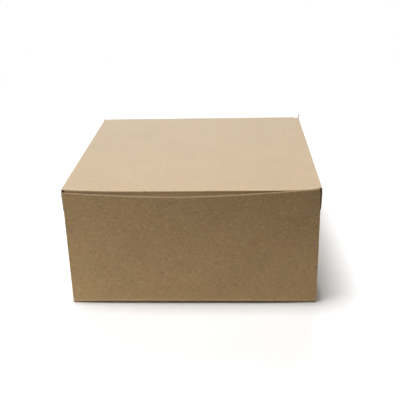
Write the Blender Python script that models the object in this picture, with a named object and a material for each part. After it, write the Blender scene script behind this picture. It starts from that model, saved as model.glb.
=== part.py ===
# A one-piece folding cake box in brown kraft board, standing shut. X runs across the box, the front
# faces -Y, and the base lies on z = 0. Panels that the real blank joins by a crease are separate
# objects here, a clearance apart, so that each can take its own movement.

import math

import bmesh
import bpy
from mathutils import Matrix, Vector

# Sizes of the whole box, in metres.
box_width = 0.254
box_depth = 0.254
wall_height = 0.1266
board = 0.0006
clearance = 0.0003

# The front wall leans out between its corners. Its upper edge starts a little below the other walls at
# each end, and is cut hollow between.
front_bow = 0.006
bow_peak = -0.009
rim_left_drop = 0.0016
rim_right_drop = 0.0004
rim_hollow = 0.0046
side_cut = 0.002
side_cut_height = 0.022

# Corner flaps: a web that folds out from the side wall above the diagonal crease, and a glued half below.
corner_reach = 0.062
web_top_drop = 0.0196
web_shoulder_drop = 0.0326
web_taper = 0.006
heel_lift = 0.002
heel_radius = 0.005
glue_margin = 0.008
glue_film = 0.0001
glue_radius = 0.003

# The lid and the flaps that it carries. The side flaps hang outside the tray and bow outwards a little.
lid_corner_radius = 0.001
tuck_depth = 0.034
tuck_inset = 0.0025
tuck_taper = 0.006
tuck_radius = 0.012
side_flap_height = 0.0238
side_flap_radius = 0.003
side_flap_slope_length = 0.022
side_flap_rear_height = 0.010
left_flap_bow = 0.0007
right_flap_bow = 0.0011
ear_width = 0.003
ear_radius = 0.0009
left_ear_height = 0.0012
right_ear_height = 0.005

# The tuck flap leans inwards at rest, in degrees from upright.
tuck_lean = 6.0

# Powers and counts.
bow_power = 1.4
hollow_power = 1.4
arc_steps = 5
rim_steps = 28
bow_columns = 28
bow_rows = 9
corner_slices = 6
flap_rows = 8

# Places that several pieces share.
half_width = box_width / 2
half_depth = box_depth / 2
inset = board + clearance
lid_underside = wall_height + clearance
flap_middle = half_width + clearance + board / 2
lid_half_width = flap_middle + clearance
flap_pivot_height = lid_underside + board / 2
tuck_pivot_height = wall_height - board / 2
flap_rear = half_depth - 2 * clearance

# Colours of the board as displayed, on a scale of 0 to 1.
kraft_face = (0.73, 0.61, 0.45)
kraft_inside = (0.70, 0.58, 0.43)
dried_glue = (0.80, 0.72, 0.58)


def clear_scene():
    for old in list(bpy.data.objects):
        bpy.data.objects.remove(old, do_unlink=True)


def linear(channel):
    return channel / 12.92 if channel <= 0.04045 else ((channel + 0.055) / 1.055) ** 2.4


def make_material(name, colour, roughness):
    material = bpy.data.materials.new(name)
    material.use_nodes = True
    shader = material.node_tree.nodes["Principled BSDF"]
    shader.inputs["Base Color"].default_value = [linear(channel) for channel in colour] + [1.0]
    shader.inputs["Roughness"].default_value = roughness
    shader.inputs["Metallic"].default_value = 0.0
    return material


def kraft_board(name, colour=kraft_face):
    return make_material(f"{name}_board", colour, 0.9)


def cold_glue(name):
    return make_material(f"{name}_film", dried_glue, 0.4)


# A corner of an outline, turned with an arc of the given radius, or left sharp with none.
def corner_arc(before, corner, after, radius):
    if not radius:
        return [corner]
    back = (before - corner).normalized()
    ahead = (after - corner).normalized()
    half_angle = back.angle(ahead) / 2
    centre = corner + (back + ahead).normalized() * radius / math.sin(half_angle)
    spoke = corner + back * radius / math.tan(half_angle) - centre
    sweep = math.copysign(math.pi - 2 * half_angle, ahead.cross(back))
    turns = [Matrix.Rotation(sweep * step / arc_steps, 2) for step in range(arc_steps + 1)]
    return [centre + turn @ spoke for turn in turns]


# Corners are (x, y, radius), in order round the outline.
def rounded_outline(corners):
    points = [Vector(corner[:2]) for corner in corners]
    outline = []
    for index, corner in enumerate(corners):
        after = points[(index + 1) % len(points)]
        outline += corner_arc(points[index - 1], points[index], after, corner[2])
    return outline


# Cuts a mesh into strips along one axis, so that it can bend.
def slice_along(mesh, axis, count):
    places = [vertex.co[axis] for vertex in mesh.verts]
    low, high = min(places), max(places)
    normal = Vector((0, 0, 0))
    normal[axis] = 1
    for step in range(1, count):
        cut = normal * (low + (high - low) * step / count)
        geometry = mesh.verts[:] + mesh.edges[:] + mesh.faces[:]
        bmesh.ops.bisect_plane(mesh, geom=geometry, plane_co=cut, plane_no=normal, dist=clearance / 10)


# A sheet with its outline in its own XY plane and its upper face at the given level. The bend adds to
# the level at each point, so sheets that share it stay parallel.
def sheet(name, outline, material, level=0.0, thickness=board, slices=(1, 1), bend=None):
    mesh = bmesh.new()
    face = mesh.faces.new([mesh.verts.new((x, y, level - thickness)) for x, y in outline])
    raised = bmesh.ops.extrude_face_region(mesh, geom=[face])["geom"]
    top = [part for part in raised if isinstance(part, bmesh.types.BMVert)]
    bmesh.ops.translate(mesh, verts=top, vec=(0, 0, thickness))
    slice_along(mesh, 0, slices[0])
    slice_along(mesh, 1, slices[1])
    bmesh.ops.triangulate(mesh, faces=mesh.faces[:])
    if bend:
        for vertex in mesh.verts:
            vertex.co.z += bend(vertex.co.x, vertex.co.y)
    bmesh.ops.recalc_face_normals(mesh, faces=mesh.faces[:])
    data = bpy.data.meshes.new(name)
    mesh.to_mesh(data)
    mesh.free()
    data.shade_smooth()
    data.set_sharp_from_angle(angle=math.radians(30))
    data.materials.append(material)
    made = bpy.data.objects.new(name, data)
    bpy.context.scene.collection.objects.link(made)
    return made


# Stands a sheet up with its upper face outwards: turn 0 faces the front, 90 the right side. The lean
# tips the sheet's top outwards.
def stand(made, turn, location, lean=0.0):
    made.rotation_euler = (math.radians(90 + lean), 0, math.radians(turn))
    made.location = location
    return made


def rectangle(left, right, bottom, top):
    return [(left, bottom), (right, bottom), (right, top), (left, top)]


# How far the front wall stands out at x across and z up: nothing at the corners and at the base.
def front_bulge(x, z):
    span = half_width + bow_peak if x < bow_peak else half_width - bow_peak
    across = 1 - min(1, abs(x - bow_peak) / span) ** 2
    return front_bow * across * (max(z, 0) / wall_height) ** bow_power


# Height of the front wall's upper edge at x: it climbs a little from left to right and dips between.
def rim_height(x):
    share = (x + half_width) / box_width
    dip = 1 - min(1, abs(x - bow_peak) / half_width) ** hollow_power
    return wall_height - rim_left_drop + (rim_left_drop - rim_right_drop) * share - rim_hollow * dip


def make_base():
    outline = rectangle(inset - half_width, half_width - inset, inset - half_depth, half_depth - inset)
    sheet("base_panel", outline, kraft_board("base_panel", kraft_inside), level=board)


def make_side_walls():
    outline = rectangle(inset - half_depth, half_depth - inset, 0, wall_height)
    for name, turn, x in (("left_wall", -90, -half_width), ("right_wall", 90, half_width)):
        stand(sheet(name, outline, kraft_board(name)), turn, (x, 0, 0))


def make_back_wall():
    outline = rectangle(-half_width, half_width, 0, wall_height)
    stand(sheet("back_wall", outline, kraft_board("back_wall")), 180, (0, half_depth, 0))


def make_front_wall():
    rim_half = half_width - side_cut
    cut_start = wall_height - side_cut_height
    places = [rim_half - 2 * rim_half * step / rim_steps for step in range(rim_steps + 1)]
    rim = [(x, rim_height(x)) for x in places]
    outline = [(-half_width, 0), (half_width, 0), (half_width, cut_start), *rim, (-half_width, cut_start)]
    material = kraft_board("front_wall")
    wall = sheet("front_wall", outline, material, slices=(bow_columns, bow_rows), bend=front_bulge)
    stand(wall, 0, (0, -half_depth, 0))


# The free half of a corner flap, as (distance from the corner, height, radius).
def web_corners():
    return [
        (inset, inset + clearance, 0),
        (corner_reach, corner_reach + clearance, 0),
        (corner_reach - web_taper, wall_height - web_shoulder_drop, heel_radius),
        (inset, wall_height - web_top_drop, 0),
    ]


# The glued half, under the diagonal crease.
def glue_flap_corners():
    return [
        (inset + clearance, inset, 0),
        (corner_reach, inset + heel_lift, heel_radius),
        (corner_reach, corner_reach - clearance, 0),
    ]


# The glue itself, a margin in from each edge of the glued half.
def glue_corners():
    slant = glue_margin * math.sqrt(2)
    low = inset + heel_lift + glue_margin
    far = corner_reach - glue_margin
    return [
        (low + slant, low, glue_radius),
        (far, low, glue_radius),
        (far, far - slant, glue_radius),
    ]


# Corner pieces lie against the inside of a wall, in that wall's own frame, at the left or right end.
def make_corner(wall, end, turn, side, bend):
    location = Vector((0, half_depth, 0)) if turn else Vector((0, -half_depth, 0))
    names = [f"{wall}_{end}_{piece}" for piece in ("web", "glue_flap", "glue")]
    outlines = (web_corners(), glue_flap_corners(), glue_corners())
    materials = (
        kraft_board(names[0], kraft_inside),
        kraft_board(names[1], kraft_inside),
        cold_glue(names[2]),
    )
    film_level = -board - (clearance - glue_film) / 2
    levels = ((-inset, board), (-inset, board), (film_level, glue_film))
    for name, corners, material, (level, thickness) in zip(names, outlines, materials, levels):
        outline = rounded_outline([(side * (half_width - along), up, r) for along, up, r in corners])
        slices = (corner_slices, corner_slices) if bend else (1, 1)
        piece = sheet(name, outline, material, level, thickness, slices, bend)
        stand(piece, turn, location)


def make_corners():
    for end, side in (("left", -1), ("right", 1)):
        make_corner("front", end, 0, side, front_bulge)
        make_corner("back", end, 180, -side, None)


# The lid's own origin is on the crease along the back wall's upper edge.
def make_lid():
    corners = [(end, -box_depth, lid_corner_radius) for end in (-lid_half_width, lid_half_width)]
    notch_front = flap_rear - half_depth - ear_width - clearance
    for side, ear in ((1, right_ear_height), (-1, left_ear_height)):
        notch_side = flap_middle - board / 2 - ear - clearance
        notch = [
            (side * lid_half_width, notch_front, 0),
            (side * notch_side, notch_front, 0),
            (side * notch_side, -clearance, 0),
        ]
        corners += notch if side > 0 else reversed(notch)
    lid = sheet("lid_panel", rounded_outline(corners), kraft_board("lid_panel"), level=board)
    lid.location = (0, half_depth, lid_underside)
    return lid


# A flap's origin is on its crease, and the flap hangs from it, carried by the lid.
def hang(flap, lid, turn, place, lean=0.0):
    flap.parent = lid
    stand(flap, turn, Vector(place) - lid.location, lean)


def make_tuck_flap(lid):
    root_half = half_width - board - clearance - tuck_inset
    tip_half = root_half - tuck_taper
    corners = [
        (-tip_half, -tuck_depth, tuck_radius),
        (tip_half, -tuck_depth, tuck_radius),
        (root_half, 0, 0),
        (-root_half, 0, 0),
    ]
    flap = sheet("tuck_flap", rounded_outline(corners), kraft_board("tuck_flap"), level=board / 2)
    hang(flap, lid, 0, (0, inset + board / 2 - half_depth, tuck_pivot_height), tuck_lean)


def make_side_flap(lid, name, side, ear, bow):
    def bulge(along, up):
        share = min(1, max(0, -up) / side_flap_height)
        return 4 * bow * share * (1 - share)

    front = board - half_depth
    root = -board / 2 - clearance
    ear_top = board / 2 + ear
    corners = [
        (front, root, 0),
        (front, -side_flap_height, side_flap_radius),
        (flap_rear - side_flap_slope_length, -side_flap_height, side_flap_radius),
        (flap_rear, -side_flap_rear_height, 0),
        (flap_rear, ear_top, ear_radius),
        (flap_rear - ear_width, ear_top, ear_radius),
        (flap_rear - ear_width, root, 0),
    ]
    outline = rounded_outline([(side * along, up, r) for along, up, r in corners])
    flap = sheet(name, outline, kraft_board(name), board / 2, slices=(1, flap_rows), bend=bulge)
    hang(flap, lid, side * 90, (side * flap_middle, 0, flap_pivot_height))


def make_box():
    clear_scene()
    make_base()
    make_side_walls()
    make_back_wall()
    make_front_wall()
    make_corners()
    lid = make_lid()
    make_tuck_flap(lid)
    make_side_flap(lid, "left_lid_flap", -1, left_ear_height, left_flap_bow)
    make_side_flap(lid, "right_lid_flap", 1, right_ear_height, right_flap_bow)


make_box()
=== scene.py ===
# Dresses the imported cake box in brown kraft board. Shapes are worked out in millimetres, and go into
# the meshes in metres. Every panel is one closed shell of board, and the creases that move are strips
# of their own between two panels.
import math

import bpy
import numpy as np
from mathutils import Matrix, Vector


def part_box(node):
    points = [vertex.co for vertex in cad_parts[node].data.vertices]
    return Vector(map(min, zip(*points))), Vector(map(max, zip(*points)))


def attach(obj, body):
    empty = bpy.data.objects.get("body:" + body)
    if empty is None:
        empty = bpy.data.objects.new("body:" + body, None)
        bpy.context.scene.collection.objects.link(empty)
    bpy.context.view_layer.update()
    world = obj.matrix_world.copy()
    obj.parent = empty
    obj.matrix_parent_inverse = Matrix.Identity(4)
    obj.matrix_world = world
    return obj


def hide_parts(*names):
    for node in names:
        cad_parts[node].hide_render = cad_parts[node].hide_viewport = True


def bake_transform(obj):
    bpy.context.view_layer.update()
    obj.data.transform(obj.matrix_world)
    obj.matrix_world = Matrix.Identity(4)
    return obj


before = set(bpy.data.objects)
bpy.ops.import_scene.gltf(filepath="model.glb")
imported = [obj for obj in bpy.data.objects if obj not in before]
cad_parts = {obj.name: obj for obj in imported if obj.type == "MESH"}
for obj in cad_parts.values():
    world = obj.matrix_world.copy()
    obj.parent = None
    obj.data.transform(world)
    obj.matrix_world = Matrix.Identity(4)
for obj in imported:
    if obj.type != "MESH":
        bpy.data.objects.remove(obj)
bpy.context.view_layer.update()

mm = 0.001


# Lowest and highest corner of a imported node, in millimetres.
def nodeBox(node):
    low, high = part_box(node)
    return np.array(low) / mm, np.array(high) / mm


baseLow, baseHigh = nodeBox("base_panel")
backHigh = nodeBox("back_wall")[1]
sideHigh = nodeBox("right_wall")[1]
lidLow, lidHigh = nodeBox("lid_panel")
webLow, webHigh = nodeBox("back_right_web")
glueFlapLow = nodeBox("back_right_glue_flap")[0]
filmLow, filmHigh = nodeBox("back_right_glue")

board = baseHigh[2] - baseLow[2]
halfBoard = board / 2
faceOffsets = (halfBoard, -halfBoard)  # of the board's two faces from its middle
halfWidth = backHigh[0]
halfDepth = backHigh[1]
wallTop = backHigh[2]
gap = halfDepth - sideHigh[1] - board
lidMiddle = (lidLow[2] + lidHigh[2]) / 2
lidOnSheet = 2 * halfDepth + wallTop  # where the lid's middle line lies on the unfolded sheet

# Creases turn on a small radius, taken at the middle of the board, and those at the foot of the box on
# a wider one, where they keep the low bead that scoring leaves. The paler colour along creases, partly real
# wear and partly a painted highlight, fades out over its reach, and the rows of a wall are finer up to the
# fine reach.
creaseLook = {
    "radius": 0.6,
    "footRadius": 1.5,
    "wearAndHighlightReach": 1.3,
    "bead": 0.2,
    "beadPlace": 0.5,
    "beadReach": 0.7,
    "fineReach": 5.0,
}
bendRadius = creaseLook["radius"]
bendLength = bendRadius * math.pi / 2
footRadius = creaseLook["footRadius"]
footStart = halfWidth - halfBoard - footRadius
footLength = footRadius * math.pi / 2
uprightStart = footLength - halfBoard - footRadius  # from a height to a distance along a wall
footPlaces = [0, footLength / wallTop, creaseLook["fineReach"] / wallTop]  # as shares of a wall's height
sharpTurn = math.radians(40)  # edges that turn by more are drawn sharp
print("stage: frame read, board", round(board, 3), "mm")


# Values from the first place to the last, each stretch cut into its own count of equal steps.
def stretches(places, counts):
    cuts = [np.linspace(a, b, n, endpoint=False) for a, b, n in zip(places, places[1:], counts)]
    return np.append(np.concatenate(cuts), places[-1])


# Columns of a grid at all the given places in order, where those that agree to 4 digits are one.
def columnsAt(*places):
    return np.unique(np.round(np.concatenate(places), 4))[None, :]


# Inset of a rounded corner at a distance from the edge's end: a quarter circle, and zero past it.
def roundInset(distance, radius):
    rest = np.clip(radius - distance, 0, radius)
    return radius - np.sqrt(radius**2 - rest**2)


# Distances from an edge's end that follow a quarter circle evenly.
def roundPlaces(radius, steps):
    return radius * (1 - np.cos(np.linspace(0, math.pi / 2, steps + 1)))


waveLook = {"count": 6, "length": (45, 130)}  # how many sines, and from how short to how long


# Soft waves of a board that was handled, from 0 up to a height: the mean of a few sines that cross the
# sheet in seeded directions.
def ripple(u, v, height, seed):
    random = np.random.default_rng(seed)
    total = np.zeros(np.broadcast(u, v).shape)
    for _ in range(waveLook["count"]):
        length = random.uniform(*waveLook["length"])
        heading = random.uniform(0, math.pi)
        phase = random.uniform(0, 2 * math.pi)
        along = u * math.cos(heading) + v * math.sin(heading)
        total += np.sin(2 * math.pi * along / length + phase)
    return height * (1 + total / waveLook["count"]) / 2


# Rises evenly from 0 to 1 over a distance, and stays 1.
def ramp(distance, reach):
    return np.clip(distance / reach, 0, 1)


# Puts grids together as one array of places, (rows, columns, 2 or 3).
def points(*grids):
    return np.stack(np.broadcast_arrays(*grids), -1).astype(float)


# Four-sided faces between the neighbours of a grid of point numbers.
def gridQuads(index):
    return np.stack([index[:-1, :-1], index[:-1, 1:], index[1:, 1:], index[1:, :-1]], -1).reshape(-1, 4)


# Puts new data into the scene as an object at the origin.
def addObject(name, data):
    made = bpy.data.objects.new(name, data)
    bpy.context.scene.collection.objects.link(made)
    return made


# Joins two equal grids, the board's two faces, into one closed shell: quads over each face and a row
# of quads round the rim. The faces are turned over where the volume, a sum of a . (b x c + c x d) over
# the quads, comes out negative. The last material goes on the rim, which is the cut edge of the board.
# Blank is each point's place on the unfolded sheet, and wearAndHighlight how far a crease has paled it, by
# real wear and in places by a painted highlight.
def makeShell(name, outer, inner, blank, wearAndHighlight, materials):
    rows, columns = outer.shape[:2]
    count = rows * columns
    index = np.arange(count).reshape(rows, columns)
    face = gridQuads(index)
    loop = np.concatenate([index[0, :-1], index[:-1, -1], index[-1, :0:-1], index[:0:-1, 0]])
    ahead = np.roll(loop, -1)
    rim = np.stack([ahead, loop, loop + count, ahead + count], -1)
    faces = np.concatenate([face, face[:, ::-1] + count, rim])
    places = np.concatenate([outer.reshape(-1, 3), inner.reshape(-1, 3)]) * mm
    first, second, third, fourth = (places[faces[:, turn]] for turn in range(4))
    volume = np.einsum("ij,ij->i", first, np.cross(second, third) + np.cross(third, fourth)).sum()
    if volume < 0:
        faces = faces[:, ::-1]
    data = bpy.data.meshes.new(name)
    data.from_pydata(places.tolist(), [], faces.tolist())
    onRim = np.zeros(len(faces), np.int32)
    onRim[2 * len(face):] = len(materials) - 1
    data.polygons.foreach_set("material_index", onRim)
    depth = np.zeros(blank.shape[:2] + (1,))
    sheet = np.concatenate([np.concatenate([blank, depth], -1), np.concatenate([blank, depth + board], -1)])
    data.attributes.new("blank", "FLOAT_VECTOR", "POINT").data.foreach_set("vector", sheet.ravel())
    wearAndHighlightBoth = np.tile(np.broadcast_to(wearAndHighlight, (rows, columns)).ravel(), 2)
    data.attributes.new("wearAndHighlight", "FLOAT", "POINT").data.foreach_set("value", wearAndHighlightBoth)
    for material in materials:
        data.materials.append(material)
    data.shade_smooth()
    data.set_sharp_from_angle(angle=sharpTurn)
    data.validate()
    data.update()
    return addObject(name, data)


# A node socket that can be used in sums: each operator adds a Math node to the same tree.
class Signal:
    def __init__(self, tree, socket):
        self.tree = tree
        self.socket = socket

    def math(self, operation, *values):
        return addNode(self.tree, "ShaderNodeMath", {"operation": operation}, dict(enumerate(values)))

    def __add__(self, other):
        return self.math("ADD", self, other)

    def __radd__(self, other):
        return self.math("ADD", other, self)

    def __sub__(self, other):
        return self.math("SUBTRACT", self, other)

    def __rsub__(self, other):
        return self.math("SUBTRACT", other, self)

    def __mul__(self, other):
        return self.math("MULTIPLY", self, other)

    def __rmul__(self, other):
        return self.math("MULTIPLY", other, self)


# Adds any node: its settings first, then its sockets by number, identifier or name, each a value or a
# Signal. Gives back one output, by number or name.
def addNode(tree, kind, settings=None, sockets=None, output=0):
    node = tree.nodes.new(kind)
    for name, value in (settings or {}).items():
        setattr(node, name, value)
    for name, value in (sockets or {}).items():
        named = [socket for socket in node.inputs if name in (socket.identifier, socket.name)]
        target = node.inputs[name] if isinstance(name, int) else named[0]
        if isinstance(value, Signal):
            tree.links.new(value.socket, target)
        else:
            target.default_value = value
    return Signal(tree, node.outputs[output])


# Place on the unfolded sheet, in millimetres, which every board and glue piece carries.
def sheetPlace(tree):
    return addNode(tree, "ShaderNodeAttribute", {"attribute_name": "blank"}, {}, output=1)


# A noise over the given coordinates, less 0.5, so that it is about zero.
def noise(tree, place, scale, detail, roughness, distortion=0.0):
    sockets = {"Vector": place, "Scale": scale, "Detail": detail, "Roughness": roughness}
    sockets["Distortion"] = distortion
    return addNode(tree, "ShaderNodeTexNoise", {}, sockets) - 0.5


# Sum of the named textures, each times its share.
def weighed(shares, textures):
    total = 0
    for name, share in shares.items():
        total = total + textures[name] * share
    return total


# Rises smoothly from 0 at low to 1 at high, as 3 t^2 - 2 t^3 with t the share of the way.
def rise(tree, value, low, high):
    sockets = {"Value": value, "From Min": low, "From Max": high}
    return addNode(tree, "ShaderNodeMapRange", {"interpolation_type": "SMOOTHSTEP"}, sockets)


# Mixes two colours by a share, or blends the second over the first in another way.
def mixColours(tree, share, first, second, way="MIX"):
    settings = {"data_type": "RGBA", "blend_type": way}
    sockets = {"Factor_Float": share, "A_Color": first, "B_Color": second}
    return addNode(tree, "ShaderNodeMix", settings, sockets, output=2)


# Coordinates turned by an angle and then squeezed, so that a noise of scale 1 draws strokes of the
# given length and width in millimetres.
def strokePlace(tree, place, angle, length, width, shift):
    settings = {"vector_type": "TEXTURE"}
    sockets = {"Vector": place, "Location": shift, "Rotation": (0, 0, angle), "Scale": (length, width, 1)}
    return addNode(tree, "ShaderNodeMapping", settings, sockets)


# Fibres lie in a few directions. Each direction turns the texture, in degrees, and shifts it by one step,
# and each seed by one more of its own.
fibreFan = {
    "directions": 4,
    "firstTurn": 11,
    "turn": 47,
    "seedTurn": 13,
    "shift": (31.0, 17.0, 3.0),
    "seedShift": (7.0, -5.0, 0.0),
    "noise": (1.0, 1.0, 0.5, 0.35),
}


# Sparse short strokes: at each place the largest of several stretched noises, which show from low on
# and are full from high on.
def fibres(tree, place, length, width, low, high, seed):
    total = None
    for step in range(fibreFan["directions"]):
        angle = math.radians(fibreFan["firstTurn"] + fibreFan["turn"] * step + fibreFan["seedTurn"] * seed)
        shift = np.array(fibreFan["shift"]) * step + np.array(fibreFan["seedShift"]) * seed
        squeezed = strokePlace(tree, place, angle, length, width, shift)
        strokes = rise(tree, noise(tree, squeezed, *fibreFan["noise"]), low, high)
        total = strokes if total is None else total.math("MAXIMUM", total, strokes)
    return total


# A new material with its constant settings on the shader's own sockets.
def emptyMaterial(name, roughness, specular=0.5, sheen=0.0):
    material = bpy.data.materials.new(name)
    material.use_nodes = True
    tree = material.node_tree
    shader = tree.nodes["Principled BSDF"]
    shader.inputs["Roughness"].default_value = roughness
    shader.inputs["Specular IOR Level"].default_value = specular
    shader.inputs["Sheen Weight"].default_value = sheen
    return material, tree, shader


# Feeds a shader's socket.
def linkTo(tree, signal, shader, socket):
    tree.links.new(signal.socket, shader.inputs[socket])


# Turns a height, where 1 stands for the given depth in millimetres, into bumps.
def linkBump(tree, height, depth, shader):
    sockets = {"Strength": 1.0, "Distance": depth * mm, "Height": height}
    linkTo(tree, addNode(tree, "ShaderNodeBump", {}, sockets), shader, "Normal")


# Textures of the board. A noise has its scale per millimetre, its detail and roughness, and a
# distortion, and a fibre its length and width, its low and high, and its seed.
kraftTexture = {
    "cloud": (0.022, 2.0, 0.5),
    "mottle": (0.16, 3.0, 0.6, 0.4),
    "streaks": (1.0, 2.0, 0.55),
    "streakTurn": 0.05,
    "streakSize": (26.0, 3.2),
    "streakShift": (5, 9, 0),
    "grain": (1.9, 2.0, 0.6),
    "paleFibres": (6.5, 1.9, 0.14, 0.24, 1),
    "darkFibres": (5.0, 1.8, 0.15, 0.25, 2),
    "speckScale": 0.16,
    "speckRadius": (0.05, 0.13),  # as a share of a cell
    "paleSpecks": (0.26, 0.34),  # cells with a number below have one
    "darkSpecks": (0.66, 0.74),  # and cells with a number above
    "hue": (0.05, 2.0, 0.5),
    "hueReach": (-0.15, 0.15),
    "fray": (0.9, 2.0, 0.6),
}

# Brightness and flecks say how much of each texture goes into the colour, dullness into the roughness
# and relief into the bumps.
kraftFace = {
    "colour": (0.497, 0.325, 0.156),
    "warm": (1.012, 0.992, 0.985),
    "cool": (0.988, 1.006, 1.012),
    "brightness": {"cloud": 0.20, "mottle": 0.14, "streaks": 0.07, "grain": 0.20},
    "flecks": {"paleFibres": 0.20, "darkFibres": -0.25, "paleSpecks": 0.65, "darkSpecks": -0.90},
    "dullness": {"mottle": 0.12, "paleFibres": -0.06, "darkFibres": 0.05, "wearAndHighlight": 0.12},
    "relief": {"grain": 0.35, "mottle": 0.8, "paleFibres": 0.5, "darkFibres": -0.4, "streaks": 0.3},
    # Paler colour along creases and edges: real wear, and in places a painted highlight where an edge
    # catches the light.
    "wearAndHighlightColour": (0.66, 0.49, 0.29),
    "wearAndHighlightShare": 0.5,
    "wearAndHighlightFray": 1.2,
    "roughness": 0.55,
    "specular": 0.15,
    "sheen": 0.15,
    "bumpHeight": 0.035,
}


# The textures by name: broad clouds, a blotchy mottle, streaks, fine grain, and pale and dark fibres.
# Specks are the middles of some cells of a scattered pattern, pale or dark as the cell's number says.
def kraftTextures(tree, place):
    size = kraftTexture
    streakPlace = strokePlace(tree, place, size["streakTurn"], *size["streakSize"], size["streakShift"])
    cell = {"Vector": place, "Scale": size["speckScale"]}
    middle = addNode(tree, "ShaderNodeTexVoronoi", {}, cell)
    number = addNode(tree, "ShaderNodeTexVoronoi", {}, cell, output=1)
    drawn = addNode(tree, "ShaderNodeSeparateColor", {}, {0: number})
    specks = 1 - rise(tree, middle, *size["speckRadius"])
    return {
        "cloud": noise(tree, place, *size["cloud"]),
        "mottle": noise(tree, place, *size["mottle"]),
        "streaks": noise(tree, streakPlace, *size["streaks"]),
        "grain": noise(tree, place, *size["grain"]),
        "paleFibres": fibres(tree, place, *size["paleFibres"]),
        "darkFibres": fibres(tree, place, *size["darkFibres"]),
        "paleSpecks": specks * (1 - rise(tree, drawn, *size["paleSpecks"])),
        "darkSpecks": specks * rise(tree, drawn, *size["darkSpecks"]),
        "wearAndHighlight": addNode(tree, "ShaderNodeAttribute", {"attribute_name": "wearAndHighlight"}, {}, output=2),
    }


# The face of the board: a colour between warm and cool, mixed with a paler one along creases, partly real
# wear and partly a painted highlight, times a brightness of 1 plus the textures by their shares.
def kraftMaterial(name, look):
    material, tree, shader = emptyMaterial(name, look["roughness"], look["specular"], look["sheen"])
    place = sheetPlace(tree)
    textures = kraftTextures(tree, place)
    warm, cool = (tuple(np.multiply(look["colour"], look[tone])) + (1,) for tone in ("warm", "cool"))
    hue = rise(tree, noise(tree, place, *kraftTexture["hue"]), *kraftTexture["hueReach"])
    fray = 1 + noise(tree, place, *kraftTexture["fray"]) * look["wearAndHighlightFray"]
    frayed = textures["wearAndHighlight"] * look["wearAndHighlightShare"] * fray
    tint = mixColours(tree, frayed, mixColours(tree, hue, warm, cool), (*look["wearAndHighlightColour"], 1))
    level = 1 + weighed(look["brightness"], textures) + weighed(look["flecks"], textures)
    grey = addNode(tree, "ShaderNodeCombineColor", {}, {0: level, 1: level, 2: level})
    linkTo(tree, mixColours(tree, 1.0, tint, grey, "MULTIPLY"), shader, "Base Color")
    linkTo(tree, look["roughness"] + weighed(look["dullness"], textures), shader, "Roughness")
    linkBump(tree, weighed(look["relief"], textures), look["bumpHeight"], shader)
    return material


# The lid has more sheen than the tray. Its colour is a little paler and less red, a painted sheen
# standing in for the white its brightly lit top shows, and its fibres and specks are fainter, painted to
# read as they do on that lit top. Its side flaps have its colour, with a sheen between those of the lid and
# the tray.
lidFace = {
    **kraftFace,
    "colour": (0.490, 0.334, 0.163),
    "specular": 0.3,
    "sheen": 0.65,
    "flecks": {"paleFibres": 0.14, "darkFibres": -0.12, "paleSpecks": 0.25, "darkSpecks": -0.45},
}
flapFace = {**lidFace, "specular": 0.22, "sheen": 0.40}

cutEdge = {
    "colour": (0.66, 0.51, 0.33),
    "dark": (0.42, 0.29, 0.16),
    "plyStretch": (0.55, 0.55, 9.0),
    "plies": (1.0, 3.0, 0.65),
    "fray": (1.4, 3.0, 0.6),
    "brightness": {"plies": 0.6, "fray": 0.4},
    "brightReach": (-0.16, 0.12),
    "relief": {"plies": 1.0, "fray": 0.5},
    "roughness": 0.85,
    "roughnessSpread": 0.2,
    "specular": 0.2,
    "bumpHeight": 0.06,
}


# The cut edge of the board: its plies show as fine lines along the edge, broken by loose fibres. The
# plies are a noise that is squeezed across the board's thickness.
def cutEdgeMaterial(name, look):
    material, tree, shader = emptyMaterial(name, look["roughness"], look["specular"])
    place = sheetPlace(tree)
    stretched = {0: place, 1: look["plyStretch"]}
    layers = addNode(tree, "ShaderNodeVectorMath", {"operation": "MULTIPLY"}, stretched)
    textures = {"plies": noise(tree, layers, *look["plies"]), "fray": noise(tree, place, *look["fray"])}
    share = rise(tree, weighed(look["brightness"], textures), *look["brightReach"])
    colour = mixColours(tree, share, (*look["dark"], 1), (*look["colour"], 1))
    linkTo(tree, colour, shader, "Base Color")
    linkTo(tree, look["roughness"] + textures["fray"] * look["roughnessSpread"], shader, "Roughness")
    linkBump(tree, weighed(look["relief"], textures), look["bumpHeight"], shader)
    return material


driedGlue = {
    "colour": (0.604, 0.477, 0.296),
    "pale": (0.72, 0.62, 0.45),
    "lumps": (0.35, 3.0, 0.55, 0.6),
    "paleReach": (-0.2, 0.2),
    "roughness": 0.38,
    "roughnessSpread": 0.3,
    "bumpHeight": 0.08,
}


# Dried glue: a yellowish film with a lumpy surface, paler and duller on its lumps.
def glueMaterial(name, look):
    material, tree, shader = emptyMaterial(name, look["roughness"])
    lumps = noise(tree, sheetPlace(tree), *look["lumps"])
    share = rise(tree, lumps, *look["paleReach"])
    colour = mixColours(tree, share, (*look["colour"], 1), (*look["pale"], 1))
    linkTo(tree, colour, shader, "Base Color")
    linkTo(tree, look["roughness"] + lumps * look["roughnessSpread"], shader, "Roughness")
    linkBump(tree, lumps, look["bumpHeight"], shader)
    return material


rawEdge = cutEdgeMaterial("kraftCutEdge", cutEdge)
glueMaterials = [glueMaterial("driedGlueFilm", driedGlue)]
boardMaterials = [kraftMaterial("kraftFace", kraftFace), rawEdge]
lidMaterials = [kraftMaterial("kraftLidFace", lidFace), rawEdge]
flapMaterials = [kraftMaterial("kraftFlapFace", flapFace), rawEdge]
print("stage: materials made")


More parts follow.
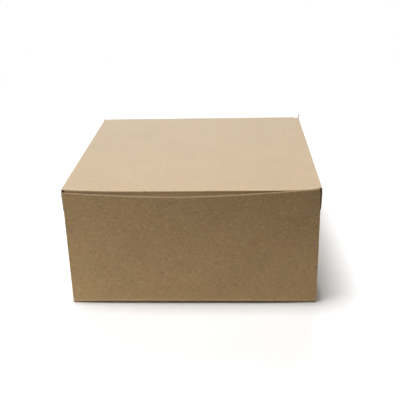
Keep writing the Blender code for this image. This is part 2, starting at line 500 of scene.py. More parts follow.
# Path of a panel that turns up out of the base: a quarter circle, then straight up, with a bell-shaped
# bead just above the bend. Takes the distance along the board's middle and the offset to a face, and
# gives how far out and how far up it lies.
def turnUp(distance, offset, bead=0.0):
    angle = np.clip(distance / footRadius, 0, math.pi / 2)
    past = distance - footLength
    swell = np.exp(-((past - creaseLook["beadPlace"]) / creaseLook["beadReach"]) ** 2)
    out = (footRadius + offset) * np.sin(angle) + bead * swell
    up = footRadius - (footRadius + offset) * np.cos(angle) + np.clip(past, 0, None)
    return out, up


# How pale the board is at a distance from a crease, by wear and in places a painted highlight: 1 on it,
# fading like a bell curve.
def wearAndHighlightNear(distance):
    return np.exp(-(distance / creaseLook["wearAndHighlightReach"]) ** 2)


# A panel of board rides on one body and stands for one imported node.
def finishPiece(made, node, body):
    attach(made, body)
    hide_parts(node)


# A crease that moves lies between two bodies; here it is only fixed in place where it lies, and its start
# and end are not used.
def finishCrease(made, start, end):
    [s * mm for s in start]
    [e * mm for e in end]
    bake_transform(made)


basePanel = {
    "wave": 0.12,
    "waveSeed": 3,
    "fadePower": 8,
    "edge": 4.0,
    "cells": (6, 60, 6),
    "lift": 2.2,
    "push": 2.6,
    "footPower": 6,
    "footReach": 20.0,
}


# How far the bowed front wall pushes its foot forwards and lifts it off the table: 1 less a power of the
# distance from the middle, times the square of the nearness to the foot.
def footShift(x, distance):
    across = 1 - (x / halfWidth) ** basePanel["footPower"]
    near = across * (1 - ramp(distance, basePanel["footReach"])) ** 2
    return basePanel["push"] * near, basePanel["lift"] * near


# The base is flat underneath but for its lifted front edge. Waves raise its upper face, times 1 less a
# power of the distance from the middle each way.
def makeBase():
    edge = footStart - basePanel["edge"]
    across = stretches([-footStart, -edge, edge, footStart], basePanel["cells"])
    x, y = np.meshgrid(across, across)
    fadeX, fadeY = (1 - (place / footStart) ** basePanel["fadePower"] for place in (x, y))
    push, lift = footShift(x, y + footStart)
    wave = ripple(x, y, basePanel["wave"], basePanel["waveSeed"]) * fadeX * fadeY
    faces = [points(x, y - push, z + lift) for z in (baseLow[2], baseHigh[2] + wave)]
    wearAndHighlight = np.maximum(wearAndHighlightNear(footStart - np.abs(x)), wearAndHighlightNear(footStart - np.abs(y)))
    made = makeShell("basePanelBoard", *faces, points(x, y), wearAndHighlight, boardMaterials)
    finishPiece(made, "base_panel", "tray")


frontWall = {
    "bow": 6.0,
    "peak": -9.0,
    "bowPower": 1.4,
    "rimLeftDrop": 1.6,
    "rimRightDrop": 0.4,
    "rimHollow": 4.6,
    "hollowPower": 1.4,
    "rimPress": 0.5,
    "rimPressReach": 1.2,
    "rimWearAndHighlight": 1.8,
    "footBeadWearAndHighlight": 0.9,
    "leftCut": 1.3,
    "rightCut": 1.2,
    "cutHeight": 22.0,
    "wave": 0.4,
    "waveSeed": 5,
    "waveFade": 30.0,
    "wavePower": 6,
    "columnPlaces": (-1, -0.97, 0.97, 1),
    "columns": (4, 84, 4),
    "rowPlaces": (0.82, 0.975, 0.992, 1),
    "rows": (6, 12, 36, 12, 3, 8),
}


# How far the front wall stands out: a parabola across, and a power of the height.
def frontBulge(x, z):
    peak = frontWall["peak"]
    span = np.where(x < peak, halfWidth + peak, halfWidth - peak)
    across = 1 - np.clip(np.abs(x - peak) / span, 0, 1) ** 2
    return frontWall["bow"] * across * (np.clip(z, 0, None) / wallTop) ** frontWall["bowPower"]


# Height of the front wall's upper edge: a straight climb from left to right, less a hollow.
def rimHeight(x):
    share = (x + halfWidth) / (2 * halfWidth)
    dip = 1 - np.clip(np.abs(x - frontWall["peak"]) / halfWidth, 0, 1) ** frontWall["hollowPower"]
    drop = frontWall["rimLeftDrop"] + (frontWall["rimRightDrop"] - frontWall["rimLeftDrop"]) * share
    return wallTop - drop - frontWall["rimHollow"] * dip


# The front wall turns up out of the base and bows outwards. Its upper corners are cut back by an even
# ramp, and the die has pressed the outer side of its rim in, by the square of the nearness to the edge.
# Its rim and the bead above its foot are painted paler, partly wear and partly a painted highlight where
# they catch the light.
def makeFrontWall():
    across = stretches(frontWall["columnPlaces"], frontWall["columns"])[None, :]
    cut = np.where(across < 0, frontWall["leftCut"], frontWall["rightCut"])
    rim = rimHeight(across * (halfWidth - cut))
    cutStart = wallTop - frontWall["cutHeight"]
    full = rim + uprightStart
    length = full * stretches([*footPlaces, *frontWall["rowPlaces"]], frontWall["rows"])[:, None]
    nearRim = 1 - ramp(full - length, frontWall["rimPressReach"])
    press = frontWall["rimPress"] * nearRim**2
    fade = 1 - across ** frontWall["wavePower"]
    faces = []
    for offset, pressed in zip(faceOffsets, (press, 0)):
        out, up = turnUp(length, offset, creaseLook["bead"])
        z = up + halfBoard
        x = across * (halfWidth - cut * ramp(z - cutStart, rim - cutStart))
        wave = ripple(x, z, frontWall["wave"], frontWall["waveSeed"]) * ramp(z, frontWall["waveFade"]) * fade
        push, lift = footShift(x, z)
        y = wave + pressed - footStart - out - frontBulge(x, z) - push
        faces.append(points(x, y, z + lift))
    blank = points(faces[0][..., 0], -footStart - length)
    onBead = wearAndHighlightNear(length - footLength - creaseLook["beadPlace"])
    wearAndHighlight = np.maximum(frontWall["footBeadWearAndHighlight"] * onBead, frontWall["rimWearAndHighlight"] * nearRim)
    made = makeShell("frontWallBoard", *faces, blank, wearAndHighlight, boardMaterials)
    finishPiece(made, "front_wall", "tray")


# Waves of an upright wall, which even ramps fade at its foot and its upper edge, and 1 less a power of
# the distance from its middle fades at its ends.
def wallWave(look, along, half, z, seed):
    fade = ramp(z, look["waveFade"]) * ramp(wallTop - z, look["waveFade"])
    return ripple(along, z, look["wave"], seed) * fade * (1 - (along / half) ** look["wavePower"])


backWall = {
    "wave": 0.24,
    "waveSeed": 7,
    "waveFade": 25.0,
    "wavePower": 6,
    "step": 0.04,
    "columns": (2, 1, 72, 1, 4),
    "rowPlaces": (0.975, 1),
    "rows": (6, 6, 40, 6),
}

# The hinge crease runs from left to right, from a height on the tray to a depth on the lid.
hingeCrease = {"left": -125.8, "right": 122.0, "tray": 126.2, "lid": 125.7, "columns": 72, "turnSteps": 9}


# The back wall turns up out of the base. Its upper edge is raw past the ends of the hinge crease, a
# little higher than where the crease begins.
def makeBackWall():
    left, right, step = hingeCrease["left"], hingeCrease["right"], backWall["step"]
    places = [-halfWidth, left - step, left, right, right + step, halfWidth]
    x = stretches(places, backWall["columns"])[None, :]
    inCrease = (x >= left) & (x <= right)
    full = np.where(inCrease, hingeCrease["tray"], wallTop) + uprightStart
    length = full * stretches([*footPlaces, *backWall["rowPlaces"]], backWall["rows"])[:, None]
    faces = []
    for offset in faceOffsets:
        out, up = turnUp(length, offset)
        z = up + halfBoard
        wave = wallWave(backWall, x, halfWidth, z, backWall["waveSeed"])
        faces.append(points(x, footStart + out - wave, z))
    wearAndHighlight = np.maximum(wearAndHighlightNear(length - footLength), wearAndHighlightNear(full - length) * inCrease)
    made = makeShell("backWallBoard", *faces, points(x, footStart + length), wearAndHighlight, boardMaterials)
    finishPiece(made, "back_wall", "tray")


sideWall = {
    "wave": 0.24,
    "waveSeed": 11,
    "waveFade": 25.0,
    "wavePower": 6,
    "edge": 4.0,
    "columns": (4, 66, 4),
    "rows": (6, 8, 44),
}
sideReach = halfDepth - halfBoard - board - gap - bendRadius  # where a side wall ends and its webs turn


# A side wall runs between the two bends that its corner webs make, and its upper edge is raw.
def makeSideWall(name, node, side):
    edge = sideReach - sideWall["edge"]
    y = stretches([-sideReach, -edge, edge, sideReach], sideWall["columns"])[None, :]
    length = (wallTop + uprightStart) * stretches([*footPlaces, 1], sideWall["rows"])[:, None]
    faces = []
    for offset in faceOffsets:
        out, up = turnUp(length, offset, creaseLook["bead"])
        z = up + halfBoard
        wave = wallWave(sideWall, y, sideReach, z, sideWall["waveSeed"] + side)
        faces.append(points(side * (footStart + out - wave), y, z))
    wearAndHighlight = np.maximum(wearAndHighlightNear(length - footLength), wearAndHighlightNear(sideReach - np.abs(y)))
    blank = points(side * (footStart + length), y)
    made = makeShell(name, *faces, blank, wearAndHighlight, boardMaterials)
    finishPiece(made, node, "tray")


# The corner flaps are a web and a glued half each. Their columns are finer near their ends.
corner = {
    "reach": halfWidth - webLow[0],
    "webTop": webHigh[2],
    "webShoulder": 94.0,
    "webTaper": 6.0,
    "tipRadius": 5.0,
    "heel": 2.9,
    "start": 1.2,
    "groove": 0.14,
    "grooveWidth": 0.7,
    "turnSteps": 6,
    "fineStart": 3.0,
    "fineEnd": 8.0,
    "webColumns": (5, 24, 12),
    "webRowPlaces": (0, 0.03, 0.88, 1),
    "webRows": (8, 34, 10),
    "glueFlapColumns": (34, 12),
    "glueFlapRowPlaces": (0, 0.12, 0.96, 1),
    "glueFlapRows": (8, 24, 6),
}


# Rounds one corner of the unit square: inside the corner's own square, with p and q running from 0 to
# 1 towards the corner, p becomes p * sqrt(1 - q*q / 2) and q becomes q * sqrt(1 - p*p / 2).
def roundCorner(u, v, cornerU, cornerV, sizeU, sizeV):
    u, v = np.broadcast_arrays(u, v)
    p = np.clip(1 - np.abs(u - cornerU) / sizeU, 0, 1)
    q = np.clip(1 - np.abs(v - cornerV) / sizeV, 0, 1)
    moveU = sizeU * (p - p * np.sqrt(1 - q * q / 2))
    moveV = sizeV * (q - q * np.sqrt(1 - p * p / 2))
    signU = 1 if cornerU == 0 else -1
    signV = 1 if cornerV == 0 else -1
    return u + signU * moveU, v + signV * moveV


# Middle of the corner flap's plane, as a distance in from the outer face of the wall it lies against.
cornerPlane = board + gap + halfBoard


# Puts (distance from the side wall, distance from the front or back wall, height) in its place at one
# corner. Corners at the front follow the bow of the front wall.
def atCorner(along, inward, z, side, end):
    x = side * (halfWidth - along)
    bulge = frontBulge(x, z) if end < 0 else 0
    return points(x, end * (halfDepth - inward + bulge), z)


# Depth of the groove along a corner's diagonal crease: a bell curve of the distance from it.
def foldGroove(fold):
    return corner["groove"] * np.exp(-(fold / corner["grooveWidth"]) ** 2)


# A web: a quarter turn out of the side wall, then a flat sheet whose height at each place along it runs
# evenly from the diagonal crease to its upper edge, with its far upper corner rounded.
def makeWeb(name, node, side, end):
    turnEnd = halfBoard + bendRadius
    turn = np.linspace(0, math.pi / 2, corner["turnSteps"] + 1)
    width = corner["reach"] - turnEnd
    flatPlaces = [0, corner["fineStart"] / width, 1 - corner["fineEnd"] / width, 1]
    flat = stretches(flatPlaces, corner["webColumns"])[1:]
    columns = np.concatenate([np.zeros(len(turn)), flat])[None, :]
    angle = np.concatenate([turn, np.full(len(flat), math.pi / 2)])[None, :]
    inTurn = columns == 0
    rows = stretches(corner["webRowPlaces"], corner["webRows"])[:, None]
    tip = corner["tipRadius"]
    t, v = roundCorner(columns, rows, 1, 1, tip / width, tip / (corner["webShoulder"] - turnEnd))
    along = turnEnd + (width - corner["webTaper"] * v) * t
    low = turnEnd + width * t
    high = corner["webTop"] + (corner["webShoulder"] - corner["webTop"]) * t
    z = low + (high - low) * v
    fold = (z - along) / math.sqrt(2)
    faces = []
    for offset in faceOffsets:
        radius = bendRadius + offset
        out = np.where(inTurn, turnEnd - radius * np.cos(angle), along)
        inward = cornerPlane + bendRadius - radius * np.sin(angle) - foldGroove(fold) * ~inTurn
        faces.append(atCorner(out, inward, z, side, end))
    run = np.where(inTurn, bendRadius * angle, bendLength + along - turnEnd)
    blank = points(side * (footStart + z), end * (sideReach + run))
    wearAndHighlight = np.maximum(wearAndHighlightNear(fold), wearAndHighlightNear(run - bendLength / 2))
    made = makeShell(name, *faces, blank, wearAndHighlight, boardMaterials)
    finishPiece(made, node, "tray")


# The glued half of a corner flap: from a narrow end at the corner, its height at each place along it
# runs evenly from its lower edge to the diagonal crease.
def makeGlueFlap(name, node, side, end):
    width = corner["reach"] - corner["start"]
    columns = stretches([0, 1 - corner["fineEnd"] / width, 1], corner["glueFlapColumns"])[None, :]
    rows = stretches(corner["glueFlapRowPlaces"], corner["glueFlapRows"])[:, None]
    tip = corner["tipRadius"]
    t, v = roundCorner(columns, rows, 1, 0, tip / width, tip / (corner["reach"] - corner["heel"]))
    along = corner["start"] + width * t
    low = glueFlapLow[2] + (corner["heel"] - glueFlapLow[2]) * t
    z = low + (along - low) * v
    fold = (z - along) / math.sqrt(2)
    middle = cornerPlane - foldGroove(fold)
    faces = [atCorner(along, middle - offset, z, side, end) for offset in faceOffsets]
    blank = points(side * (footStart + z), end * (sideReach + along))
    made = makeShell(name, *faces, blank, wearAndHighlightNear(fold), boardMaterials)
    finishPiece(made, node, "tray")


# Wander waves are in radians per millimetre: two move the outline along the wall, and one up and down.
glueFilm = {
    "thickness": 0.1,
    "margin": 1.0,
    "tip": 0.1,
    "wander": 0.45,
    "wanderPower": 6,
    "wanderWaves": (0.9, 0.37, 0.8),
    "columns": 40,
    "rows": 24,
}


# The glue between a glued half and its wall: a thin film in the middle of the gap, from its node's low
# edge up to a slope. Its outline wanders by sines, which a power of the nearness to it fades inwards.
def makeGlueFilm(name, node, side, end):
    margin, tip = glueFilm["margin"], glueFilm["tip"]
    nearEdge = halfWidth - filmHigh[0] + margin
    farEdge = halfWidth - filmLow[0] - margin
    lowEdge = filmLow[2] + margin / 2
    columns = np.linspace(0, 1, glueFilm["columns"] + 1)[None, :]
    rows = np.linspace(0, 1, glueFilm["rows"] + 1)[:, None]
    t, v = roundCorner(columns, rows, 1, 0, tip, tip)
    along = nearEdge + (farEdge - nearEdge) * t
    top = lowEdge + margin + (filmHigh[2] - filmLow[2] - 2 * margin) * t
    z = lowEdge + (top - lowEdge) * v
    nearness = np.maximum(np.abs(2 * v - 1), np.abs(2 * t - 1))
    wander = glueFilm["wander"] * nearness ** glueFilm["wanderPower"]
    first, second, third = glueFilm["wanderWaves"]
    along = along + wander * np.sin(z * first + side) * np.cos(z * second)
    z = z + wander * np.sin(along * third + end)
    middle, half = board + gap / 2, glueFilm["thickness"] / 2
    faces = [atCorner(along, middle - offset, z, side, end) for offset in (half, -half)]
    made = makeShell(name, *faces, points(along, z), 0, glueMaterials)
    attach(made, "tray")
    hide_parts(node)


lidShape = {
    "sag": 2.5,
    "sagLeftPower": 3.6,
    "sagRightPower": 12.0,
    "sagDepthPower": 1.3,
    "side": 127.1,
    "frontCrease": -125.5,
    "frontRaw": -126.9,
    "notchFront": 123.1,
    "creaseHalf": 124.6,
    "cornerRadius": 1.0,
    "cornerSteps": 4,
    "step": 0.05,
    "wave": 0.28,
    "waveSeed": 21,
    "waveFade": 20.0,
    "edgeWear": 0.2,
    "columns": 88,
    "rowPlaces": (0, 0.012, 0.988, 1),
    "rows": (5, 80, 5),
}


# How far the lid sags: nothing at its sides and its hinge, most at the middle of its front edge. It is
# 1 less a power of the distance from the middle, higher on the right, where the sag stays deep until
# close to the side, times a power of the distance from the hinge.
def lidSag(x, y):
    power = np.where(x < 0, lidShape["sagLeftPower"], lidShape["sagRightPower"])
    across = 1 - np.clip(np.abs(x) / lidShape["side"], 0, 1) ** power
    ahead = np.clip((halfDepth - y) / (2 * halfDepth), 0, 1) ** lidShape["sagDepthPower"]
    return lidShape["sag"] * across * ahead


# The lid between its creases: a grid from the rear edge to the front edge, which sags and has waves
# that die out at all four edges. Its front corners are raw and rounded, its rear corners notched.
# Along its front crease it is painted paler, partly wear and partly a painted highlight on the edge.
def makeLid():
    side, half, step = lidShape["side"], lidShape["creaseHalf"], lidShape["step"]
    left, right = hingeCrease["left"], hingeCrease["right"]
    rounding = roundPlaces(lidShape["cornerRadius"], lidShape["cornerSteps"])
    edges = [left - step, left, -half - step, right, right + step, half + step]
    middle = np.linspace(-half, half, lidShape["columns"] + 1)
    x = columnsAt(-side + rounding, edges, middle, side - rounding)
    rounded = lidShape["frontRaw"] + roundInset(side - np.abs(x), lidShape["cornerRadius"])
    front = np.where(np.abs(x) <= half, lidShape["frontCrease"], rounded)
    rear = np.where((x >= left) & (x <= right), hingeCrease["lid"], lidShape["notchFront"])
    y = rear + (front - rear) * stretches(lidShape["rowPlaces"], lidShape["rows"])[:, None]
    fade = ramp(side - np.abs(x), lidShape["waveFade"]) * ramp(halfDepth - y, lidShape["waveFade"])
    fade = fade * ramp(y - lidShape["frontCrease"], lidShape["waveFade"])
    z = lidMiddle - lidSag(x, y) - ripple(x, y, lidShape["wave"], lidShape["waveSeed"]) * fade
    faces = [points(x, y, z + offset) for offset in faceOffsets]
    nearFront = wearAndHighlightNear(y - lidShape["frontCrease"]) * (np.abs(x) <= half)
    nearRest = np.maximum(wearAndHighlightNear(side - np.abs(x)), wearAndHighlightNear(hingeCrease["lid"] - y))
    wearAndHighlight = np.maximum(nearFront, lidShape["edgeWear"] * nearRest)
    made = makeShell("lidPanelBoard", *faces, points(x, lidOnSheet - y), wearAndHighlight, lidMaterials)
    finishPiece(made, "lid_panel", "lid")


# The hinge crease: straight up from the back wall, a quarter turn, and straight on into the lid.
def makeHingeCrease():
    x = np.linspace(hingeCrease["left"], hingeCrease["right"], hingeCrease["columns"] + 1)[None, :]
    centreY = halfDepth - halfBoard - bendRadius
    centreZ = lidMiddle - bendRadius
    turn = np.linspace(0, math.pi / 2, hingeCrease["turnSteps"] + 1)
    angle = np.concatenate([turn[:1], turn, turn[-1:]])[:, None]
    before, after = np.zeros_like(angle), np.zeros_like(angle)
    before[0] = centreZ - hingeCrease["tray"]
    after[-1] = centreY - hingeCrease["lid"]
    faces = []
    for offset in faceOffsets:
        radius = bendRadius + offset
        y = centreY + radius * np.cos(angle) - after
        z = centreZ + radius * np.sin(angle) - before
        faces.append(points(x, y, z))
    blank = points(x, halfDepth + wallTop + bendRadius * angle - before + after)
    made = makeShell("lidHingeCrease", *faces, blank, lidShape["edgeWear"], lidMaterials)
    start = (0, centreY + bendRadius, hingeCrease["tray"])
    end = (0, hingeCrease["lid"], centreZ + bendRadius)
    finishCrease(made, start, end)


tuckFlap = {
    "lean": 6.0,
    "spring": 3.3,
    "springPower": 5.0,
    "tipHalf": 117.6,
    "depth": 34.0,
    "tipRadius": 12.0,
    "bendReach": 8.0,
    "columnPlaces": (-1, -0.97, 0.97, 1),
    "columns": (3, 88, 3),
    "arcRows": 11,
    "bendPlaces": (0, 0.12, 1),
    "bendRows": (5, 14),
    "straightRows": 13,
    "tipRows": 12,
}
tuckAcross = stretches(tuckFlap["columnPlaces"], tuckFlap["columns"])[None, :]
tuckRootHalf = lidShape["creaseHalf"]
tuckLean = math.radians(tuckFlap["lean"])


# Where the tuck crease's arc has its centre: below the lid's sagging front edge.
def tuckCentre(x):
    return lidShape["frontCrease"], lidMiddle - lidSag(x, lidShape["frontCrease"]) - bendRadius


# How far the flap springs outwards against the bowed wall, and its slope: 1 less a power across it, times
# s^2 (1 - s)^4 with s the share of its depth, over that product's highest value, which is at a third.
def tuckSpring(across, share):
    widest = tuckFlap["spring"] * (1 - np.abs(across) ** tuckFlap["springPower"])
    height = widest / ((1 / 3) ** 2 * (2 / 3) ** 4)
    slope = height * share * (1 - share) ** 3 * (2 - 6 * share) / tuckFlap["depth"]
    return height * share**2 * (1 - share) ** 4, slope


# Angle that the board has turned through since the lid, where the flap's spring has a slope.
def tuckTurn(slope):
    return math.pi / 2 + tuckLean - np.arctan(slope)


# Heights between which the tuck crease bends: from the lowest middle of its arc down by the bend's reach.
tuckBendStart = lidMiddle - lidShape["sag"] - bendRadius
tuckBendEnd = tuckBendStart - tuckFlap["bendReach"]


# How far down the flap the bend ends, measured from where the crease's arc ends.
def tuckBendReach(across):
    centreZ = tuckCentre(across * tuckRootHalf)[1]
    rootTurn = tuckTurn(tuckSpring(across, 0)[1])
    return (centreZ + bendRadius * np.cos(rootTurn) - tuckBendEnd) / math.cos(tuckLean)


# The flap's faces and place on the sheet at distances down from its crease, along its lean, less its
# spring outwards. Its sides taper, and its tips are rounded.
def tuckSheet(across, down):
    half = tuckRootHalf + (tuckFlap["tipHalf"] - tuckRootHalf) * down / tuckFlap["depth"]
    half = half - roundInset(tuckFlap["depth"] - down, tuckFlap["tipRadius"])
    centreY, centreZ = tuckCentre(across * tuckRootHalf)
    rootTurn = tuckTurn(tuckSpring(across, 0)[1])
    spring, slope = tuckSpring(across, down / tuckFlap["depth"])
    turn = tuckTurn(slope)
    y = centreY - bendRadius * np.sin(rootTurn) + down * math.sin(tuckLean) - spring
    z = centreZ + bendRadius * np.cos(rootTurn) - down * math.cos(tuckLean)
    faces = []
    for offset in faceOffsets:
        faces.append(points(across * half, y - offset * np.sin(turn), z + offset * np.cos(turn)))
    blank = points(across * half, lidOnSheet - lidShape["frontCrease"] + bendRadius * rootTurn + down)
    return *faces, blank


# The tuck crease: an arc from the lid's front edge, and the first part of the flap, down to where
# the bend ends, so that the curved crease folds in below the sagging lid.
def makeTuckCrease():
    x = tuckAcross * tuckRootHalf
    centreY, centreZ = tuckCentre(x)
    arc = np.linspace(0, 1, tuckFlap["arcRows"], endpoint=False)[:, None]
    angle = tuckTurn(tuckSpring(tuckAcross, 0)[1]) * arc
    down = tuckBendReach(tuckAcross) * stretches(tuckFlap["bendPlaces"], tuckFlap["bendRows"])[:, None]
    grids = []
    for offset in faceOffsets:
        radius = bendRadius + offset
        grids.append(points(x, centreY - radius * np.sin(angle), centreZ + radius * np.cos(angle)))
    grids.append(points(x, lidOnSheet - lidShape["frontCrease"] + bendRadius * angle))
    whole = [np.concatenate(pair) for pair in zip(grids, tuckSheet(tuckAcross, down))]
    wearAndHighlight = np.concatenate([np.ones_like(angle), wearAndHighlightNear(down)])
    made = makeShell("tuckFlapCrease", *whole, wearAndHighlight, lidMaterials)
    start, end = ((0, lidShape["frontCrease"], z) for z in (tuckBendStart, tuckBendEnd))
    finishCrease(made, start, end)


# The tuck flap below its bend: even rows down to where its tips begin to round, and rows that follow
# their quarter circle.
def makeTuckFlap():
    tip, depth = tuckFlap["tipRadius"], tuckFlap["depth"]
    reach = tuckBendReach(tuckAcross)
    rows = np.linspace(0, 1, tuckFlap["straightRows"], endpoint=False)[:, None]
    straight = reach + (depth - tip - reach) * rows
    rounded = (depth - roundPlaces(tip, tuckFlap["tipRows"])[::-1, None]) * np.ones_like(reach)
    down = np.concatenate([straight, rounded])
    made = makeShell("tuckFlapBoard", *tuckSheet(tuckAcross, down), wearAndHighlightNear(down), lidMaterials)
    finishPiece(made, "tuck_flap", "tuck")


sideFlap = {
    "radius": 0.5,
    "height": 23.8,
    "cornerRadius": 3.0,
    "slopeLength": 22.0,
    "rearHeight": 10.0,
    "earWidth": 3.0,
    "earRadius": 0.9,
    "front": -126.4,
    "creaseFront": -125.4,
    "bowPower": 0.65,
    "tuckIn": 0.22,
    "curlReach": 2.2,
    "curlStart": 0.12,
    "edgeWear": 0.8,
    "step": 0.04,
    "turnSteps": 8,
    "creaseColumns": 60,
    "earSteps": 4,
    "cornerSteps": 8,
    "middleColumns": 49,
    "slopeColumns": 10,
    "rowPlaces": (0, 0.06, 0.94, 1),
    "rows": (4, 26, 4),
}

# What differs between the left side flap, -1, and the right one, 1.
flapFeatures = {
    -1: {"bow": 0.7, "curl": 1.4, "ear": 1.2, "earLean": 0.1},
    1: {"bow": 0.35, "curl": 0.0, "ear": 5.0, "earLean": 0.19},
}
flapPlane = lidHigh[0] - halfBoard
flapTop = lidMiddle - sideFlap["radius"]


# A side crease: a quarter turn from the lid's side edge down into the flap.
def makeSideCrease(name, side):
    y = np.linspace(sideFlap["creaseFront"], lidShape["notchFront"], sideFlap["creaseColumns"] + 1)[None, :]
    angle = np.linspace(0, math.pi / 2, sideFlap["turnSteps"] + 1)[:, None]
    faces = []
    for offset in faceOffsets:
        radius = sideFlap["radius"] + offset
        x = side * (lidShape["side"] + radius * np.sin(angle))
        faces.append(points(x, y, flapTop + radius * np.cos(angle)))
    blank = points(side * (lidShape["side"] + sideFlap["radius"] * angle), lidOnSheet - y)
    made = makeShell(name, *faces, blank, lidShape["edgeWear"], flapMaterials)
    start = (side * lidShape["side"], 0, lidMiddle)
    end = (side * (lidShape["side"] + sideFlap["radius"] - halfBoard), 0, lidMiddle)
    finishCrease(made, start, end)


# A side flap: it bows outwards by half a sine wave of a power of its drop, and its free edge comes back
# to the wall by the drop's square. Its front end can curl in over the corner of the wall by the square of
# the nearness to it. At the rear its lower edge slopes up, and a narrow ear stands up in the lid's notch.
def makeSideFlap(name, node, body, side):
    feature = flapFeatures[side]
    front, rear = sideFlap["front"], -sideFlap["front"]
    earFront = rear - sideFlap["earWidth"]
    slopeStart = rear - sideFlap["slopeLength"]
    earRound = roundPlaces(sideFlap["earRadius"], sideFlap["earSteps"])
    frontRound = roundPlaces(sideFlap["cornerRadius"], sideFlap["cornerSteps"])
    middlePlaces = [front + sideFlap["cornerRadius"], slopeStart, earFront - sideFlap["step"]]
    middle = stretches(middlePlaces, [sideFlap["middleColumns"], sideFlap["slopeColumns"]])
    y = columnsAt(front + frontRound, middle, earFront + earRound, rear - earRound)
    bottom = lidMiddle - sideFlap["height"] + roundInset(y - front, sideFlap["cornerRadius"])
    climb = sideFlap["height"] - sideFlap["rearHeight"]
    bottom = bottom + climb * ramp(y - slopeStart, sideFlap["slopeLength"])
    inEar = y > earFront - sideFlap["step"] / 2
    earInset = roundInset(y - earFront, sideFlap["earRadius"]) + roundInset(rear - y, sideFlap["earRadius"])
    top = np.where(inEar, lidMiddle + feature["ear"] + halfBoard - earInset, flapTop)
    share = stretches(sideFlap["rowPlaces"], sideFlap["rows"])[:, None]
    z = bottom + (top - bottom) * share
    drop = np.clip((lidMiddle - z) / sideFlap["height"], 0, 1)
    bow = feature["bow"] * np.sin(math.pi * drop ** sideFlap["bowPower"]) - sideFlap["tuckIn"] * drop**2
    curled = (1 - ramp(y - front, sideFlap["curlReach"])) ** 2 * ramp(drop, sideFlap["curlStart"])
    if feature["curl"]:
        bow = bow - curled * (bow + feature["curl"] * (1 - drop))
    x = flapPlane + bow + feature["earLean"] * np.clip(z - lidMiddle, 0, None)
    faces = [points(side * (x + offset), y, z) for offset in faceOffsets]
    blank = points(side * (flapPlane + lidMiddle - z), lidOnSheet - y)
    nearTop = lidShape["edgeWear"] * wearAndHighlightNear(lidMiddle - z) * ~inEar
    wearAndHighlight = np.maximum(nearTop, sideFlap["edgeWear"] * wearAndHighlightNear(z - bottom))
    made = makeShell(name, *faces, blank, wearAndHighlight, flapMaterials)
    finishPiece(made, node, body)


makeBase()
makeFrontWall()
makeBackWall()
makeSideWall("leftWallBoard", "left_wall", -1)
makeSideWall("rightWallBoard", "right_wall", 1)
for end, endName in ((-1, "front"), (1, "back")):
    for side, sideName in ((-1, "left"), (1, "right")):
        nodeName = f"{endName}_{sideName}"
        pieceName = f"{endName}{sideName.capitalize()}"
        makeWeb(f"{pieceName}WebBoard", f"{nodeName}_web", side, end)
        makeGlueFlap(f"{pieceName}GlueFlapBoard", f"{nodeName}_glue_flap", side, end)
        makeGlueFilm(f"{pieceName}GlueFilm", f"{nodeName}_glue", side, end)
print("stage: tray made")
makeLid()
makeHingeCrease()
makeTuckCrease()
makeTuckFlap()
makeSideCrease("leftFlapCrease", -1)
makeSideCrease("rightFlapCrease", 1)
makeSideFlap("leftLidFlapBoard", "left_lid_flap", "left_flap", -1)
makeSideFlap("rightLidFlapBoard", "right_lid_flap", "right_flap", 1)
print("stage: lid made")


# The floor's size and reaches are in metres, and the reaches are distances from the box's middle.
floorLook = {
    "size": 12.0,
    "cells": 8,
    "roughness": 0.9,
    "specular": 0.0,
    "shown": 0.95,
    "sheetBounce": 0.78,
    "tableBounce": 0.08,
    "sheetReach": (0.27, 0.40),
    "whiteReach": (0.45, 1.1),
    "lift": 0.12,
    "underReach": (0.1305, 0.136),
}


# 1 for camera, mirror and see-through rays, which get the plain white surroundings, else 0.
def straightRay(tree):
    kinds = ("Is Camera Ray", "Is Glossy Ray", "Is Transmission Ray")
    camera, glossy, through = (addNode(tree, "ShaderNodeLightPath", output=kind) for kind in kinds)
    total = camera + glossy + through
    return total.math("MINIMUM", total, 1.0)


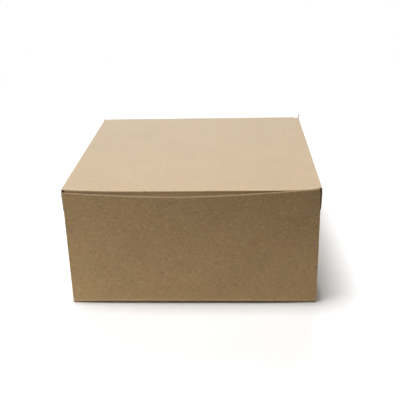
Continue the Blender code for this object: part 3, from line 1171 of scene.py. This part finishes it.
# A pale floor that keeps the object's shadow. Away from the object, camera and mirror rays see it fade
# to plain white, which is Light Path's share mixed in by distance. Near it a faint glow lifts the shadow,
# but not under the box or at its foot, where the larger of the two distances from the middle lines is
# small.
def makeFloor():
    half = floorLook["size"] / 2
    across = np.linspace(-half, half, floorLook["cells"] + 1)
    x, y = np.meshgrid(across, across)
    quads = gridQuads(np.arange(x.size).reshape(x.shape))
    data = bpy.data.meshes.new("floor")
    data.from_pydata(points(x, y, 0).reshape(-1, 3).tolist(), [], quads.tolist())
    material, tree, shader = emptyMaterial("paleFloor", floorLook["roughness"], floorLook["specular"])
    place = addNode(tree, "ShaderNodeTexCoord", {}, {}, output=3)
    distance = addNode(tree, "ShaderNodeVectorMath", {"operation": "LENGTH"}, {0: place}, output=1)
    away = rise(tree, distance, *floorLook["whiteReach"])
    offSheet = rise(tree, distance, *floorLook["sheetReach"])
    sizes = addNode(tree, "ShaderNodeVectorMath", {"operation": "ABSOLUTE"}, {0: place})
    wide, deep = (addNode(tree, "ShaderNodeSeparateXYZ", {}, {0: sizes}, output=axis) for axis in (0, 1))
    outside = rise(tree, wide.math("MAXIMUM", wide, deep), *floorLook["underReach"])
    seen = straightRay(tree)
    sheet, table, shown = ((floorLook[way],) * 3 + (1,) for way in ("sheetBounce", "tableBounce", "shown"))
    bounced = mixColours(tree, offSheet, sheet, table)
    linkTo(tree, mixColours(tree, seen, bounced, shown), shader, "Base Color")
    linkTo(tree, seen * outside * floorLook["lift"], shader, "Emission Color")
    shader.inputs["Emission Strength"].default_value = 1.0
    lit = Signal(tree, shader.outputs[0])
    white = addNode(tree, "ShaderNodeEmission", {}, {"Color": (1, 1, 1, 1), "Strength": 1.0})
    mixed = addNode(tree, "ShaderNodeMixShader", {}, {0: away * seen, 1: lit, 2: white})
    output = tree.nodes["Material Output"]
    tree.links.new(mixed.socket, output.inputs["Surface"])
    data.materials.append(material)
    floor = addObject("floor", data)


skyLook = {"top": 0.30, "low": 0.0, "reach": (0.45, 1.0)}


# The world: white to camera and mirror rays, and a soft dome for the light, dimmer towards the floor.
def makeWorld():
    world = bpy.data.worlds.new("studio")
    world.use_nodes = True
    bpy.context.scene.world = world
    tree = world.node_tree
    place = addNode(tree, "ShaderNodeTexCoord", {}, {}, output=0)
    height = addNode(tree, "ShaderNodeSeparateXYZ", {}, {0: place}, output=2)
    dome = skyLook["low"] + rise(tree, height, *skyLook["reach"]) * (skyLook["top"] - skyLook["low"])
    seen = straightRay(tree)
    strength = dome * (1 - seen) + seen
    background = tree.nodes["Background"]
    background.inputs["Color"].default_value = (1, 1, 1, 1)
    tree.links.new(strength.socket, background.inputs["Strength"])


studioLamps = {
    "key": {"from": (-0.22, 0.01, 1.0), "strength": 2.1, "spread": 24.0},
    "back": {"from": (-0.15, 1.0, 0.62), "strength": 1.35, "spread": 45.0},
    "fill": {"place": (-60, -230, 520), "aim": (-20, -60, 132), "size": (200, 160), "strength": 0.28},
    "softbox": {"place": (-330, -520, 45), "aim": (-40, -127, 40), "size": (260, 160), "strength": 0.52},
}


# A sun shines from one direction with a soft edge: the key from above, and the back light, which
# gives the lid its pale sheen.
def makeSun(name):
    look = studioLamps[name]
    lamp = bpy.data.lights.new(name, "SUN")
    lamp.energy = look["strength"]
    lamp.angle = math.radians(look["spread"])
    sun = addObject(name, lamp)
    sun.rotation_euler = (-Vector(look["from"])).to_track_quat("-Z", "Y").to_euler()


# A softbox is a flat lamp that faces the point it is aimed at.
def makeSoftbox(name):
    look = studioLamps[name]
    lamp = bpy.data.lights.new(name, "AREA")
    lamp.shape = "RECTANGLE"
    lamp.size, lamp.size_y = (side * mm for side in look["size"])
    lamp.energy = look["strength"]
    box = addObject(name, lamp)
    box.location = Vector(look["place"]) * mm
    facing = Vector(look["aim"]) - Vector(look["place"])
    box.rotation_euler = facing.to_track_quat("-Z", "Y").to_euler()


photoCamera = {
    "place": (41.5, -740.3, 369.3),
    "focalPixels": 677.4,
    "imagePixels": 400.0,
    "pitch": 22.44,
    "yaw": -3.01,
    "roll": -1.53,
    "sensor": 36.0,
}


# The camera looks along yaw and pitch, and its image is turned by the roll.
def makeCamera():
    pitch, yaw, roll = (math.radians(photoCamera[turn]) for turn in ("pitch", "yaw", "roll"))
    ahead = Vector((math.sin(yaw) * math.cos(pitch), math.cos(yaw) * math.cos(pitch), -math.sin(pitch)))
    level = Vector((math.cos(yaw), -math.sin(yaw), 0))
    above = level.cross(ahead)
    right = math.cos(roll) * level + math.sin(roll) * above
    up = -math.sin(roll) * level + math.cos(roll) * above
    lens = bpy.data.cameras.new("photoCamera")
    lens.sensor_width = photoCamera["sensor"]
    lens.lens = photoCamera["focalPixels"] / photoCamera["imagePixels"] * photoCamera["sensor"]
    camera = addObject("photoCamera", lens)
    axes = Matrix((right, up, -ahead)).transposed().to_4x4()
    camera.matrix_world = Matrix.Translation(Vector(photoCamera["place"]) * mm) @ axes
    bpy.context.scene.camera = camera


makeFloor()
makeWorld()
makeSun("key")
makeSun("back")
makeSoftbox("fill")
makeSoftbox("softbox")
makeCamera()
bpy.context.scene.view_settings.view_transform = "Standard"
print("stage: studio made")
